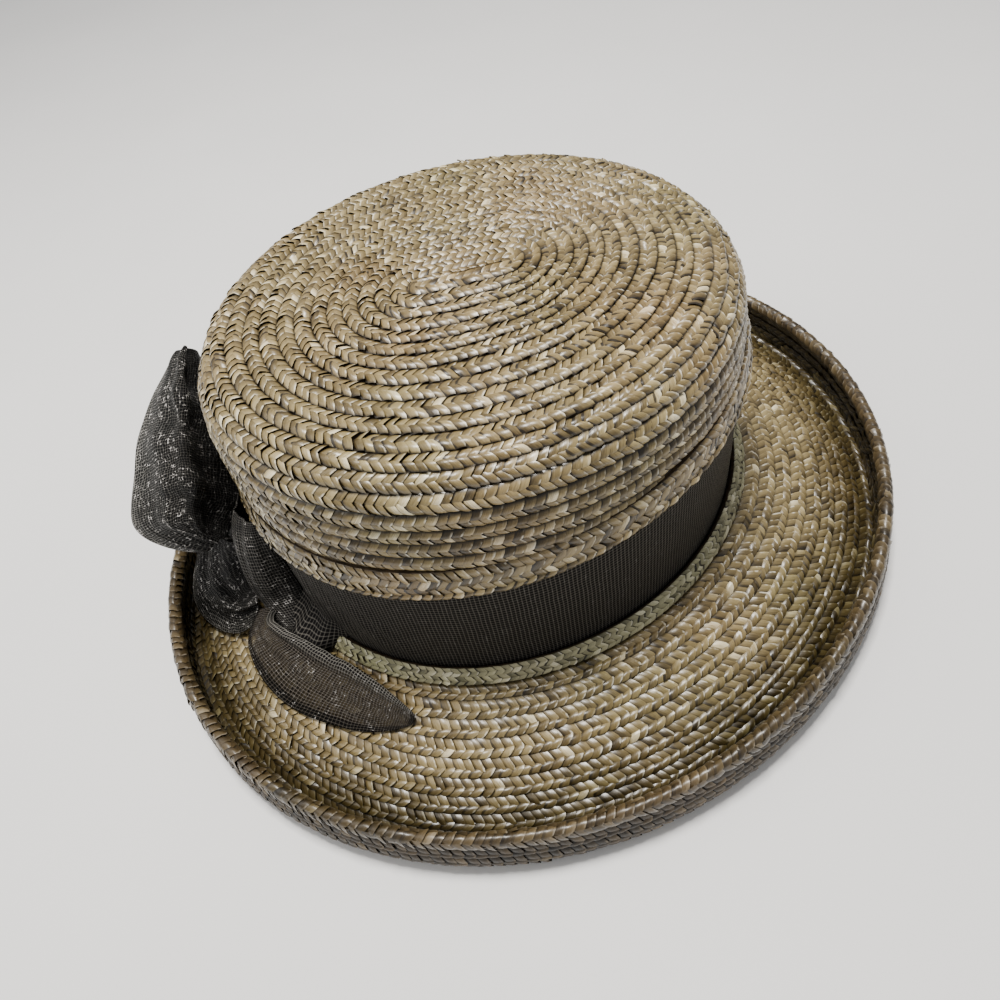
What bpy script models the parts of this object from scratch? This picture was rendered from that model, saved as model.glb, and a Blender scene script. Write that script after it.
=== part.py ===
"""Straw boater hat with a cloth band and bow, resting on its brim.

Metres, +Z up. The origin is on the surface that the hat rests on, at the centre of the brim's outline.
+Y is the back of the hat, where the bow is sewn, and -Y is the front.
"""
import math

import bmesh
import bpy
from mathutils import Vector

MM = 0.001

# Driving sizes in millimetres. A radius is the mean of an oval's half length and half width.
HEAD_RADIUS = 91.6            # outside of the crown where it meets the brim
RIM_RADIUS = 152.8            # top of the brim's turned-up edge
FOOT_HEIGHT = 27.0            # where crown and brim meet, above the resting surface
TOP_HEIGHT = 130.3            # flat top of the crown
CROWN_TOP_RADIUS = 90.5
SHOULDER_RADIUS = 15.1
STRAW = 2.0                   # thickness of sewn straw braid
CLOTH = 1.0                   # thickness of the stiffened cloth
BRAID_WIDTH = 11.5            # the applied braid round the crown
BRAID_FOOT = 87.0             # its lower edge, above the resting surface
BRAID_TILT = -0.06            # the braid is sewn on lower at the back, by this much for each millimetre
BRAID_THICKNESS = 1.8
HEADLINE_THICKNESS = 1.2
GAP = 0.3                     # clearance between pieces that touch on the real hat

# Each oval is a circle pulled out by this much at front and back and in at the sides.
FOOT_STRETCH = 6.2
TOP_STRETCH = 4.5
RIM_STRETCH = 7.7
ROUND_CENTRE = 60.0           # inside this radius the stretch fades, so that the crown's centre closes

# The crown stands a little behind the brim's centre and leans slightly.
FOOT_BACK = 5.3
TOP_BACK = 6.9
TOP_SIDE = 1.9
LEAN = 0.03

STEPS = 64                    # facets round the hat
BAND_STEPS = 104

# Side of the crown below its shoulder.
# columns: radius, height
CROWN_SIDE = (
    (91.2, 100.0),
    (91.4, 85.0),
    (HEAD_RADIUS, 55.0),
    (HEAD_RADIUS, FOOT_HEIGHT + 0.7),
)

# Outside of the band, which bellies slightly, from under the crown's braid to under the headline braid.
# columns: radius, height
BAND_PROFILE = (
    (91.4 + GAP + CLOTH, BRAID_FOOT + 1.2),
    (91.9 + CLOTH, 77.0),
    (92.0 + CLOTH, 64.0),
    (92.1 + CLOTH, 52.0),
    (92.0 + CLOTH, 40.0),
    (HEAD_RADIUS + GAP + CLOTH, 29.0),
)

# Outside of the two applied braids, top to bottom. The crown's braid stands off the band it covers.
# columns: radius, height
EDGE_BRAID = (
    (91.3 + GAP + BRAID_THICKNESS, BRAID_FOOT + BRAID_WIDTH),
    (91.4 + 3 * GAP + CLOTH + BRAID_THICKNESS, BRAID_FOOT),
)
HEADLINE_BRAID = (
    (94.6, 33.6),
    (96.9, 31.2),
    (98.7, 28.2),
)

# Upper surface of the brim, from the headline out to the top of the turned-up edge.
# The two points at trough height make the flat ring that the hat rests on.
# columns: radius, height
BRIM_PROFILE = (
    (89.7, 27.4),
    (96.0, 27.0),
    (106.0, 23.6),
    (120.0, 17.4),
    (134.0, 10.6),
    (143.0, 6.0),
    (147.0, 3.2),
    (149.0, STRAW),
    (151.4, STRAW),
    (153.2, 3.0),
    (154.0, 5.4),
    (153.7, 10.0),
    (152.7, 16.0),
    (151.6, 21.9),
)
TROUGH_POINTS = 9             # the profile's points up to the end of the trough's floor

# Creases of the band where it is gathered into the bow, each a ridge that runs from the band's
# top edge to its foot.
# columns: angle at the top edge, angle at the foot, half width in degrees, height in mm
GATHERS = (
    (60.0, 54.0, 4.5, 1.4),
    (67.0, 64.0, 4.0, 1.8),
    (94.0, 98.0, 4.0, 1.8),
    (99.0, 107.0, 4.5, 1.6),
    (105.0, 117.0, 5.0, 1.2),
)

# The knot, an upright roll of cloth open towards the band.
# columns: height, angle of its edge by the loops, angle of its edge by the tail, how far it stands off
KNOT = (
    (79.0, 71.0, 83.0, 6.0),
    (74.0, 71.0, 84.0, 9.5),
    (64.0, 71.5, 84.5, 13.0),
    (52.0, 72.0, 84.5, 15.5),
    (42.0, 73.0, 85.0, 16.5),
    (36.0, 74.0, 86.0, 16.0),
)

# Across the knot, from its edge by the loops to its edge by the tail.
# columns: share of its width, share of how far it stands off
KNOT_SECTION = (
    (0.0, 0.0),
    (0.1, 0.72),
    (0.5, 1.25),
    (0.9, 0.72),
    (1.0, 0.0),
)

# The tail lies on the brim. Each row crosses it, from the edge by the crown, over its soft ridge,
# to its outer edge. A place is given in plan, with its height above the straw.
# columns: x, y, lift of the inner edge; x, y, lift of the ridge; x, y, lift of the outer edge
TAIL = (
    (9.0, 116.5, 12.5, 14.0, 119.0, 13.0, 19.0, 122.0, 11.5),
    (10.0, 121.5, 12.0, 13.0, 127.0, 11.0, 19.0, 132.0, 7.0),
    (1.0, 118.5, 10.0, 5.0, 127.0, 9.5, 12.5, 135.5, 5.0),
    (-9.5, 114.5, 8.0, -8.5, 125.0, 8.5, -1.5, 137.5, 4.0),
    (-20.5, 111.0, 7.0, -22.0, 122.5, 7.5, -20.0, 134.5, 3.0),
    (-30.0, 107.0, 6.0, -33.5, 116.5, 7.0, -34.5, 127.0, 3.0),
    (-41.0, 104.5, 5.0, -44.5, 112.0, 5.5, -47.0, 119.5, 2.5),
    (-51.0, 102.5, 4.0, -53.0, 106.5, 4.0, -55.0, 110.5, 2.5),
    (-57.5, 101.5, 3.0, -58.5, 103.0, 3.5, -59.0, 104.5, 3.0),
)

# The lower loop lies over the brim on the other side of the knot. Same columns as the tail, with the
# outer edge first.
LOWER_LOOP = (
    (19.0, 126.0, 6.0, 21.5, 120.5, 12.0, 24.0, 114.5, 13.5),
    (22.0, 133.5, 4.5, 25.0, 128.0, 13.5, 27.0, 121.0, 15.5),
    (31.0, 136.5, 4.0, 31.5, 130.5, 15.5, 30.0, 125.0, 17.0),
    (45.5, 140.5, 3.5, 40.5, 132.0, 18.5, 35.5, 123.5, 20.0),
    (60.5, 138.0, 4.0, 53.0, 131.0, 19.0, 44.0, 122.5, 21.0),
    (71.0, 131.5, 5.0, 64.0, 126.5, 17.0, 56.0, 119.5, 19.0),
    (76.0, 124.5, 7.0, 72.0, 121.0, 13.0, 66.0, 116.0, 15.0),
)

# The upper loop stands in the air beside the crown.
# columns: x, y, z of the outer edge; x, y, z of the ridge; x, y, z of the edge by the crown
UPPER_LOOP = (
    (33.5, 125.5, 58.5, 28.0, 117.5, 67.0, 28.0, 112.0, 59.0),
    (49.0, 141.0, 67.0, 31.0, 126.0, 78.0, 25.0, 119.5, 68.0),
    (58.5, 139.0, 72.5, 32.0, 120.5, 88.0, 32.0, 114.5, 66.0),
    (61.0, 133.0, 78.0, 37.0, 114.5, 96.0, 41.0, 108.5, 70.0),
    (71.5, 124.5, 85.0, 44.0, 109.0, 102.0, 51.0, 102.5, 76.0),
    (79.5, 113.5, 92.0, 53.0, 101.5, 107.0, 61.5, 96.0, 83.0),
    (82.5, 101.5, 100.0, 62.0, 94.0, 112.5, 71.5, 89.0, 92.0),
    (81.5, 91.0, 107.0, 71.0, 87.0, 114.5, 76.0, 85.0, 101.0),
)


def share(value, start, end):
    """How far a value has gone from start to end, kept between 0 and 1."""
    return min(max((value - start) / (end - start), 0.0), 1.0)


def stretch_at(radius, height):
    """Half the difference between an oval's half length and half width."""
    up = share(height, FOOT_HEIGHT, TOP_HEIGHT)
    out = share(radius, HEAD_RADIUS, RIM_RADIUS)
    full = FOOT_STRETCH + (TOP_STRETCH - FOOT_STRETCH) * up + (RIM_STRETCH - FOOT_STRETCH) * out
    return full * math.sin(min(radius / ROUND_CENTRE, 1.0) * math.pi / 2)


def on_oval(radius, angle, height):
    """The place on the hat, in millimetres, of a point of the round shape it is drawn from."""
    up = share(height, FOOT_HEIGHT, TOP_HEIGHT)
    out = share(radius, HEAD_RADIUS, RIM_RADIUS)
    stretch = stretch_at(radius, height)
    x = (radius - stretch) * math.cos(angle) + TOP_SIDE * up
    y = (radius + stretch) * math.sin(angle) + FOOT_BACK * (1 - out) + (TOP_BACK - FOOT_BACK) * up
    return Vector((x, y, height + LEAN * up * up * y))


def brim_height(x, y):
    """Height of the brim's upper surface at a place in plan, up to the trough."""
    radius = math.hypot(x, y)
    for _ in range(12):
        stretch = stretch_at(radius, 0.0)
        back = FOOT_BACK * (1 - share(radius, HEAD_RADIUS, RIM_RADIUS))
        radius = math.hypot(x * radius / (radius - stretch), (y - back) * radius / (radius + stretch))
    slope = BRIM_PROFILE[:TROUGH_POINTS]
    for (near, high), (far, low) in zip(slope, slope[1:]):
        if radius <= far:
            return high + (low - high) * share(radius, near, far)
    return slope[-1][1]


def crown_profile():
    """Outside of the crown from the centre of its top to the headline."""
    flat = CROWN_TOP_RADIUS - SHOULDER_RADIUS
    points = [(0.0, TOP_HEIGHT + 0.9), (flat * 0.5, TOP_HEIGHT + 0.7)]
    for degrees in (0, 22.5, 45, 67.5, 90):
        turn = math.radians(degrees)
        points.append((flat + SHOULDER_RADIUS * math.sin(turn),
                       TOP_HEIGHT - SHOULDER_RADIUS * (1 - math.cos(turn))))
    return points + list(CROWN_SIDE)


def finish(name, colour, roughness):
    """A plain material."""
    made = bpy.data.materials.new(name)
    made.use_nodes = True
    shader = made.node_tree.nodes["Principled BSDF"]
    shader.inputs["Base Color"].default_value = (*colour, 1.0)
    shader.inputs["Roughness"].default_value = roughness
    shader.inputs["Metallic"].default_value = 0.0
    return made


def thicken(thing, thickness):
    """Give an open surface a wall that grows away from its outer side."""
    wall = thing.modifiers.new("wall", "SOLIDIFY")
    wall.thickness = thickness * MM
    wall.offset = -1.0
    wall.use_even_offset = True
    return thing


def turned(name, profile, steps, thickness, look, shape=on_oval):
    """A wall turned from a profile of (radius, height) and pulled into the hat's oval."""
    line = bpy.data.meshes.new(name + "_profile")
    edges = [(i, i + 1) for i in range(len(profile) - 1)]
    line.from_pydata([(radius * MM, 0.0, height * MM) for radius, height in profile], edges, [])
    guide = bpy.data.objects.new(name + "_guide", line)
    bpy.context.scene.collection.objects.link(guide)
    screw = guide.modifiers.new("turn", "SCREW")
    screw.steps = steps
    screw.render_steps = steps
    screw.use_merge_vertices = True
    screw.merge_threshold = 0.00001
    depsgraph = bpy.context.evaluated_depsgraph_get()
    mesh = bpy.data.meshes.new_from_object(guide.evaluated_get(depsgraph))
    bpy.data.objects.remove(guide)
    for vertex in mesh.vertices:
        x, y, z = vertex.co / MM
        vertex.co = shape(math.hypot(x, y), math.atan2(y, x), z) * MM
    mesh.name = name
    thing = bpy.data.objects.new(name, mesh)
    return thicken(dress(thing, look), thickness)


def dress(thing, look):
    """Put an object in the hat's collection with its material and smooth shading."""
    thing.data.materials.clear()
    thing.data.materials.append(look)
    thing.data.shade_smooth()
    thing.data.set_sharp_from_angle(angle=math.radians(40))
    hat.objects.link(thing)
    return thing


def folded(name, rows, thickness, look, levels=1):
    """A soft piece of cloth from a coarse cage, one row of points for each section."""
    cage = bmesh.new()
    bmesh.ops.create_grid(cage, x_segments=len(rows[0]) - 1, y_segments=len(rows) - 1, size=1.0)
    cage.verts.ensure_lookup_table()
    places = [place for row in rows for place in row]
    for vertex, place in zip(cage.verts, places):
        vertex.co = Vector(place) * MM
    mesh = bpy.data.meshes.new(name)
    cage.to_mesh(mesh)
    cage.free()
    thing = dress(bpy.data.objects.new(name, mesh), look)
    smooth = thing.modifiers.new("soft form", "SUBSURF")
    smooth.levels = levels
    smooth.render_levels = levels
    wall = thicken(thing, thickness).modifiers["wall"]
    wall.offset = 0.0
    return thing


def between(start, end, part):
    """The place part of the way from one point to another."""
    return Vector(start).lerp(Vector(end), part)


def arched(outer, ridge, inner):
    """A section of five points over a ridge, which is raised because subdivision flattens it."""
    crest = Vector(ridge) + (Vector(ridge) - between(outer, inner, 0.5)) * 0.25
    return [Vector(outer), between(outer, crest, 0.6), crest, between(inner, crest, 0.6), Vector(inner)]


def tilted(radius, angle, height):
    """The crown's braid sits lower at the back than at the front."""
    place = on_oval(radius, angle, height)
    place.z += BRAID_TILT * place.y
    return place


def gathered(radius, angle, height):
    """The band's surface, with its creases near the bow and its top edge tilted with the braid."""
    degrees = math.degrees(angle) % 360
    up = share(height, BAND_PROFILE[-1][1], BAND_PROFILE[0][1])
    rise = 0.0
    for top, foot, half_width, crease in GATHERS:
        away = abs(degrees - (foot + (top - foot) * up)) / half_width
        if away < 1.0:
            rise = max(rise, crease * math.sin(math.pi * up) * math.cos(away * math.pi / 2) ** 2)
    place = on_oval(radius + rise, angle, height)
    place.z += BRAID_TILT * up * place.y
    return place


def over_brim(x, y, lift):
    """A place above the straw of the brim."""
    return Vector((x, y, brim_height(x, y) + lift))


def lying(table):
    """Sections of a piece that lies over the brim."""
    return [arched(over_brim(*row[0:3]), over_brim(*row[3:6]), over_brim(*row[6:9])) for row in table]


def knot_rows():
    """The knot's sections: its edges lie against the band and its roll stands off it."""
    rows = []
    for height, loop_side, tail_side, bulge in KNOT:
        seat = band_radius(height) + GAP + CLOTH / 2
        row = []
        for across, off in KNOT_SECTION:
            angle = loop_side + (tail_side - loop_side) * across
            row.append(on_oval(seat + off * bulge, math.radians(angle), height))
        rows.append(row)
    return rows


def band_radius(height):
    """Outer radius of the band at a height."""
    for (above, top), (below, foot) in zip(BAND_PROFILE, BAND_PROFILE[1:]):
        if height >= foot:
            return below + (above - below) * share(height, foot, top)
    return BAND_PROFILE[-1][0]


for old in list(bpy.data.objects):
    bpy.data.objects.remove(old)
hat = bpy.data.collections.new("boater_hat")
bpy.context.scene.collection.children.link(hat)

straw = finish("straw", (0.24, 0.19, 0.115), 0.55)
cloth = finish("sinamay", (0.022, 0.021, 0.020), 0.6)

# The straw: crown, brim and the two applied braids.
turned("crown", crown_profile(), STEPS, STRAW, straw)
turned("brim", BRIM_PROFILE, STEPS, STRAW, straw)
turned("crown_edge_braid", EDGE_BRAID, STEPS, BRAID_THICKNESS, straw, tilted)
turned("headline_braid", HEADLINE_BRAID, STEPS, HEADLINE_THICKNESS, straw)

# The cloth: the band, and the bow sewn to it.
turned("hat_band", BAND_PROFILE, BAND_STEPS, CLOTH, cloth, gathered)
folded("bow_knot", knot_rows(), CLOTH, cloth)
folded("bow_tail", lying(TAIL), CLOTH, cloth)
folded("bow_lower_loop", lying(LOWER_LOOP), CLOTH, cloth)
folded("bow_upper_loop", [arched(row[0:3], row[3:6], row[6:9]) for row in UPPER_LOOP], CLOTH, cloth)
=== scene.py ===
# %% [markdown]
# # A straw boater with a cloth bow
# The hat is one long plait of flattened straw, sewn round and round on itself from the middle of the
# crown out to the rim of the brim. A band of black open-weave cloth runs round the crown and is
# gathered into a bow at the back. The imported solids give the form. Here each row of plait gets its
# real leaves of straw, and the cloth its weave, hems and folds.

# %% Load the solids
import math

import bpy
import numpy as np
from mathutils import Matrix, Vector


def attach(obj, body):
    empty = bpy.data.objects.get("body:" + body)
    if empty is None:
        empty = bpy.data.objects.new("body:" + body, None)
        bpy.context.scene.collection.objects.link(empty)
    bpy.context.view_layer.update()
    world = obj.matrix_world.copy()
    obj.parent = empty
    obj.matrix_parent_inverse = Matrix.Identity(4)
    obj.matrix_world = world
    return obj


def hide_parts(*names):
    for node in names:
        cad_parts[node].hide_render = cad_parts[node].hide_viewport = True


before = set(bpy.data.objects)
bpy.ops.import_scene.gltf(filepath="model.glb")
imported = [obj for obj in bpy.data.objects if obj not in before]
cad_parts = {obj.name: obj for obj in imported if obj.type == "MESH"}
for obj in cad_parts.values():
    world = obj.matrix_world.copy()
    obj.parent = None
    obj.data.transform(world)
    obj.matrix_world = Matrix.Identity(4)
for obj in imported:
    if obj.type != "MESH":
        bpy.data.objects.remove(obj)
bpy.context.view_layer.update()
MM = 0.001
chance = np.random.default_rng(7)
print("solids", sorted(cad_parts))

# %% [markdown]
# ## The camera
# The photograph was taken from close by, above the hat's back and right-hand side, with the camera
# rolled a little. The matrix is built from the look direction, so the roll is one plain angle.

# %% Camera
CAMERA_PLACE = (-0.1808, 0.1215, 0.2781)      # metres
CAMERA_LENS = 27.04
AIM = math.radians(-30.9)                     # compass direction of the look, from +X towards +Y
DOWN = math.radians(51.05)
ROLL = math.radians(-12.32)
ahead = Vector((math.cos(DOWN) * math.cos(AIM), math.cos(DOWN) * math.sin(AIM), -math.sin(DOWN)))
level = ahead.cross(Vector((0, 0, 1))).normalized()
upright = level.cross(ahead)
rightward = level * math.cos(ROLL) + upright * math.sin(ROLL)
upward = rightward.cross(ahead)

bpy.ops.object.camera_add(location=CAMERA_PLACE)
camera = bpy.context.object
camera.name = "camera"
camera.rotation_euler = Matrix((rightward, upward, -ahead)).transposed().to_euler()
camera.data.lens = CAMERA_LENS
camera.data.clip_start = 0.01
bpy.context.scene.camera = camera
print("camera looks along", [round(part, 3) for part in ahead])

# %% [markdown]
# ## Shader maths
# A finish is easier to read as a sum than as a web of nodes. A Signal wraps one output socket and
# adds, multiplies or compares like a number. A Finish makes any other node from its type, its
# settings and what goes into its sockets.

# %% Signals
class Signal:
    """One output socket of a material, which works like a number."""

    def __init__(self, tree, socket):
        self.tree = tree
        self.socket = socket

    def math(self, operation, *values, clamp=False):
        node = self.tree.nodes.new("ShaderNodeMath")
        node.operation = operation
        node.use_clamp = clamp
        for place, value in enumerate(values):
            plug(self.tree, node.inputs[place], value)
        return Signal(self.tree, node.outputs[0])

    def __add__(self, other):
        return self.math("ADD", self, other)

    def __radd__(self, other):
        return self.math("ADD", other, self)

    def __sub__(self, other):
        return self.math("SUBTRACT", self, other)

    def __rsub__(self, other):
        return self.math("SUBTRACT", other, self)

    def __mul__(self, other):
        return self.math("MULTIPLY", self, other)

    def __rmul__(self, other):
        return self.math("MULTIPLY", other, self)

    def __truediv__(self, other):
        return self.math("DIVIDE", self, other)

    def fraction(self):
        return self.math("FRACT", self)

    def size(self):
        """The value without its sign."""
        return self.math("ABSOLUTE", self)

    def greater(self, other):
        """The greater of two values."""
        return self.math("MAXIMUM", self, other)

    def kept(self):
        """The value, kept between 0 and 1."""
        return self.math("ADD", self, 0.0, clamp=True)


def plug(tree, socket, value):
    """Put a number, a colour or another socket's signal into a socket."""
    if isinstance(value, Signal):
        tree.links.new(value.socket, socket)
    else:
        socket.default_value = value


def tint(red, green, blue):
    """A colour given as a screen shows it, from 0 to 255, as the shader wants it."""
    return tuple((part / 255) ** 2.2 for part in (red, green, blue)) + (1.0,)


# %% Finishes
MIX_COLOUR_INPUTS = (0, 6, 7)      # where a Mix node takes the share and the two colours
MIX_COLOUR_OUTPUT = 2


class Finish:
    """A material, built node by node."""

    def __init__(self, name, roughness, bump_height):
        self.material = bpy.data.materials.new(name)
        self.material.use_nodes = True
        self.tree = self.material.node_tree
        self.shader = self.tree.nodes["Principled BSDF"]
        self.shader.inputs["Roughness"].default_value = roughness
        self.bump_height = bump_height

    def add(self, kind, settings=None, inputs=None, output=0):
        node = self.tree.nodes.new(kind)
        for name, value in (settings or {}).items():
            if name == "stops":
                ramp = node.color_ramp
                while len(ramp.elements) < len(value):
                    ramp.elements.new(0.5)
                for element, (place, colour) in zip(ramp.elements, value):
                    element.position = place
                    element.color = colour
            else:
                setattr(node, name, value)
        for name, value in (inputs or {}).items():
            plug(self.tree, node.inputs[name], value)
        return Signal(self.tree, node.outputs[output])

    def noise(self, place, scale, detail=2.0, roughness=0.5):
        inputs = {"Vector": place, "Scale": scale, "Detail": detail, "Roughness": roughness}
        return self.add("ShaderNodeTexNoise", {}, inputs)

    def vector(self, x, y, z):
        return self.add("ShaderNodeCombineXYZ", {}, {0: x, 1: y, 2: z})

    def split(self, place):
        node = self.tree.nodes.new("ShaderNodeSeparateXYZ")
        plug(self.tree, node.inputs[0], place)
        return [Signal(self.tree, part) for part in node.outputs]

    def ramp(self, value, stops):
        return self.add("ShaderNodeValToRGB", {"stops": stops}, {"Fac": value})

    def mix(self, part, first, second, blend="MIX"):
        node = self.tree.nodes.new("ShaderNodeMix")
        node.data_type = "RGBA"
        node.blend_type = blend
        for place, value in zip(MIX_COLOUR_INPUTS, (part, first, second)):
            plug(self.tree, node.inputs[place], value)
        return Signal(self.tree, node.outputs[MIX_COLOUR_OUTPUT])

    def here(self):
        """The place on the hat, in metres."""
        return self.add("ShaderNodeTexCoord", output=3)

    def flat(self):
        """The place on the leaf's or the cloth's own UV map."""
        return self.add("ShaderNodeUVMap", {"uv_map": "UVMap"})

    def mark(self, name):
        """A number that the mesh carries at its vertices."""
        return self.add("ShaderNodeAttribute", {"attribute_name": name}, output=2)

    def done(self, relief=None, **sockets):
        """Plug in the relief, as bump, and what each named socket gets."""
        for name, value in sockets.items():
            plug(self.tree, self.shader.inputs[name.replace("_", " ")], value)
        if relief is not None:
            inputs = {"Height": relief, "Distance": self.bump_height, "Strength": 1.0}
            plug(self.tree, self.shader.inputs["Normal"], self.add("ShaderNodeBump", {}, inputs))
        return self.material


# %% [markdown]
# ## Straw
# A straw is a split and flattened stem: pale, satiny, with fine fibres along it. Every leaf of the
# plait was a different straw, so each leaf carries its own number, the attribute called tone, and
# the fibres follow the leaf's own UV map.

# %% Straw finish
STRAW_RELIEF = 0.00006           # metres
GLAZED_BELOW = 0.4               # straw of less roughness than this still has its natural glaze
ALL_OVER = (-2.0, -1.0)          # a stretch that lies before the wall begins, so that all of it is darkened


def straw_finish(name, stops, haze, roughness, dirt_and_shade=None, tuck_shade=0.7):
    """Straw whose colour runs through stops from the darkest leaf to the palest.

    dirt_and_shade is the way down the wall, in centimetres, where the darkening begins, where it is full,
    and its colour; the darkening is partly soiling and partly painted shade.
    tuck_shade is how dark the painted shade on a leaf is where the next one covers it."""
    straw = Finish(name, roughness, STRAW_RELIEF)
    across, along, _ = straw.split(straw.flat())
    tone = straw.mark("tone")
    fibre = straw.noise(straw.vector(across * 5.0, along * 0.8, tone * 40.0), 3.0, 3.0)
    here = straw.here()
    patch = straw.noise(here, 26.0, 2.0)
    speck = straw.noise(here, 420.0, 1.0)
    green = straw.noise(here, 17.0, 1.0)

    # The leaf's own colour with broad patches of wear, and painted light across it: darker where it dives
    # under its neighbour, palest at its free edge.
    lit = tone * 0.80 + fibre * 0.44 + patch * 0.24 + across * 0.36 - 0.44
    colour = straw.ramp(lit, stops)
    colour = straw.mix((patch * 3.0 - 1.2).kept() * 0.6, colour, haze, "MULTIPLY")
    colour = straw.mix((green * 4.0 - 2.1).kept() * 0.55, colour, tint(206, 216, 176), "MULTIPLY")

    # The rubbed edge, pale from wear and from a painted highlight, and painted shade where the next leaf or
    # the next row lies over this one.
    wear_and_highlight = (across * 8.0 - 6.4).kept() * (speck * 6.0 - 3.0).kept()
    colour = straw.mix(wear_and_highlight * 0.65, colour, tint(244, 238, 218))
    tuck_shade_mask = (1.0 - (across * 11.0 - 2.3).kept()) * tuck_shade
    under = (straw.mark("under") * 1.7 - 0.7).kept()
    colour = straw.mix(tuck_shade_mask.greater(under) * 0.9, colour, tint(26, 20, 13))
    # Darker down the wall: partly dirt, partly painted shade.
    if dirt_and_shade:
        begins, full, dirt_and_shade_tint = dirt_and_shade
        dirt_and_shade_share = ((straw.mark("way") - begins) / (full - begins) + green * 0.5 - 0.25).kept()
        colour = straw.mix(dirt_and_shade_share, colour, dirt_and_shade_tint, "MULTIPLY")

    straw.shader.inputs["Coat Weight"].default_value = 0.2 if roughness < GLAZED_BELOW else 0.0
    straw.shader.inputs["Coat Roughness"].default_value = 0.2
    return straw.done(
        relief=fibre * 0.7 + speck * 0.3,
        Base_Color=colour,
        Roughness=fibre * 0.3 + (roughness - 0.12),
    )


# %% [markdown]
# One range of colours serves the whole hat. Towards the brim's trough, and all over the rim and the
# underside, the straw is darker, partly from dirt and partly from painted shade; the braid over the headline
# has kept a greenish tone.

# %% Straw colours
STRAW_STOPS = (
    (0.05, tint(48, 40, 25)),
    (0.26, tint(90, 78, 52)),
    (0.50, tint(129, 114, 79)),
    (0.74, tint(164, 148, 107)),
    (0.97, tint(234, 222, 186)),
)
GREEN_STOPS = (
    (0.05, tint(98, 95, 73)),
    (0.35, tint(154, 148, 117)),
    (0.70, tint(194, 187, 150)),
    (0.97, tint(242, 234, 204)),
)
WORN_HAZE = tint(222, 206, 198)
plait_straw = straw_finish("plaited_straw", STRAW_STOPS, tint(214, 192, 180), 0.32, tuck_shade=0.95)
brim_straw = straw_finish("brim_straw", STRAW_STOPS, tint(214, 200, 180), 0.32,
                          dirt_and_shade=(3.5, 6.2, tint(128, 125, 108)))
rim_straw = straw_finish("rim_straw", STRAW_STOPS, WORN_HAZE, 0.36,
                         dirt_and_shade=ALL_OVER + (tint(150, 144, 140),), tuck_shade=0.4)
under_straw = straw_finish("under_straw", STRAW_STOPS, WORN_HAZE, 0.5,
                           dirt_and_shade=ALL_OVER + (tint(118, 107, 94),))
headline_straw = straw_finish("greened_straw", GREEN_STOPS, tint(196, 204, 186), 0.46, tuck_shade=0.95)
print("straw finishes", plait_straw.name, headline_straw.name)

# %% [markdown]
# Between the leaves one sees down into the shade of the plait. The solids of the straw parts stay as
# that layer, and get the brown of straw that the light hardly reaches.

# %% Shaded straw under the leaves
shade = Finish("straw_in_shade", 0.7, 0.0002)
depth = shade.noise(shade.here(), 300.0, 3.0)
shade_straw = shade.done(
    relief=depth,
    Base_Color=shade.ramp(depth, ((0.3, tint(40, 31, 20)), (0.7, tint(80, 65, 45)))),
)
for name in ("crown", "brim", "crown_edge_braid", "headline_braid"):
    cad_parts[name].data.materials.clear()
    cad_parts[name].data.materials.append(shade_straw)

# %% [markdown]
# ## The hat's oval
# The hat is drawn as a round shape and pulled into an oval, a little more at the brim than at the
# top, with the crown leaning back. These are the same sizes as in the solids, and the same pull, so
# that whatever is laid on it with a radius, an angle and a height lies on the solids.

# %% The oval, in millimetres
HEAD_RADIUS = 91.6            # outside of the crown where it meets the brim
RIM_RADIUS = 152.8            # top of the turned-up rim
FOOT_HEIGHT = 27.0            # where crown and brim meet
TOP_HEIGHT = 130.3            # edge of the crown's flat top
FLAT_TOP = 75.4               # radius of that edge
SHOULDER = 15.1               # radius of the shoulder
STRAW = 2.0                   # thickness of the straw walls
FOOT_STRETCH = 6.2            # how far the oval is pulled out at front and back, and in at the sides
TOP_STRETCH_LESS = 1.7        # how much less it is at the top
RIM_STRETCH_MORE = 1.5        # how much more it is at the rim
ROUND_CENTRE = 60.0           # inside this radius the stretch fades
FOOT_BACK = 5.3               # how far the crown stands behind the brim's centre
TOP_BACK = 1.6                # how much farther its top does
TOP_SIDE = 1.9                # and how far the top stands to the wearer's left
LEAN = 0.03                   # slope of the top, up towards the back


def share(value, start, end):
    """How far a value has gone from start to end, kept between 0 and 1."""
    return np.clip((value - start) / (end - start), 0.0, 1.0)


def stretch_at(radius, up, out):
    """Half the difference between the oval's half length and half width."""
    full = FOOT_STRETCH - TOP_STRETCH_LESS * up + RIM_STRETCH_MORE * out
    return full * np.sin(np.minimum(radius / ROUND_CENTRE, 1.0) * math.pi / 2)


def on_oval(radius, angle, height):
    """Places on the hat for points of the round shape, one row each."""
    up = share(height, FOOT_HEIGHT, TOP_HEIGHT)
    out = share(radius, HEAD_RADIUS, RIM_RADIUS)
    stretch = stretch_at(radius, up, out)
    x = (radius - stretch) * np.cos(angle) + TOP_SIDE * up
    y = (radius + stretch) * np.sin(angle) + FOOT_BACK * (1 - out) + TOP_BACK * up
    return np.stack([x, y, height + LEAN * up * up * y], axis=-1)


# %% [markdown]
# Each wall is a profile: a line from the middle of the hat outwards, slightly smoothed. A way along
# it and a lift off it give a radius and a height, whatever the wall's slope is there.

# %% Walls
PROFILE_SAMPLES = 400


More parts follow.
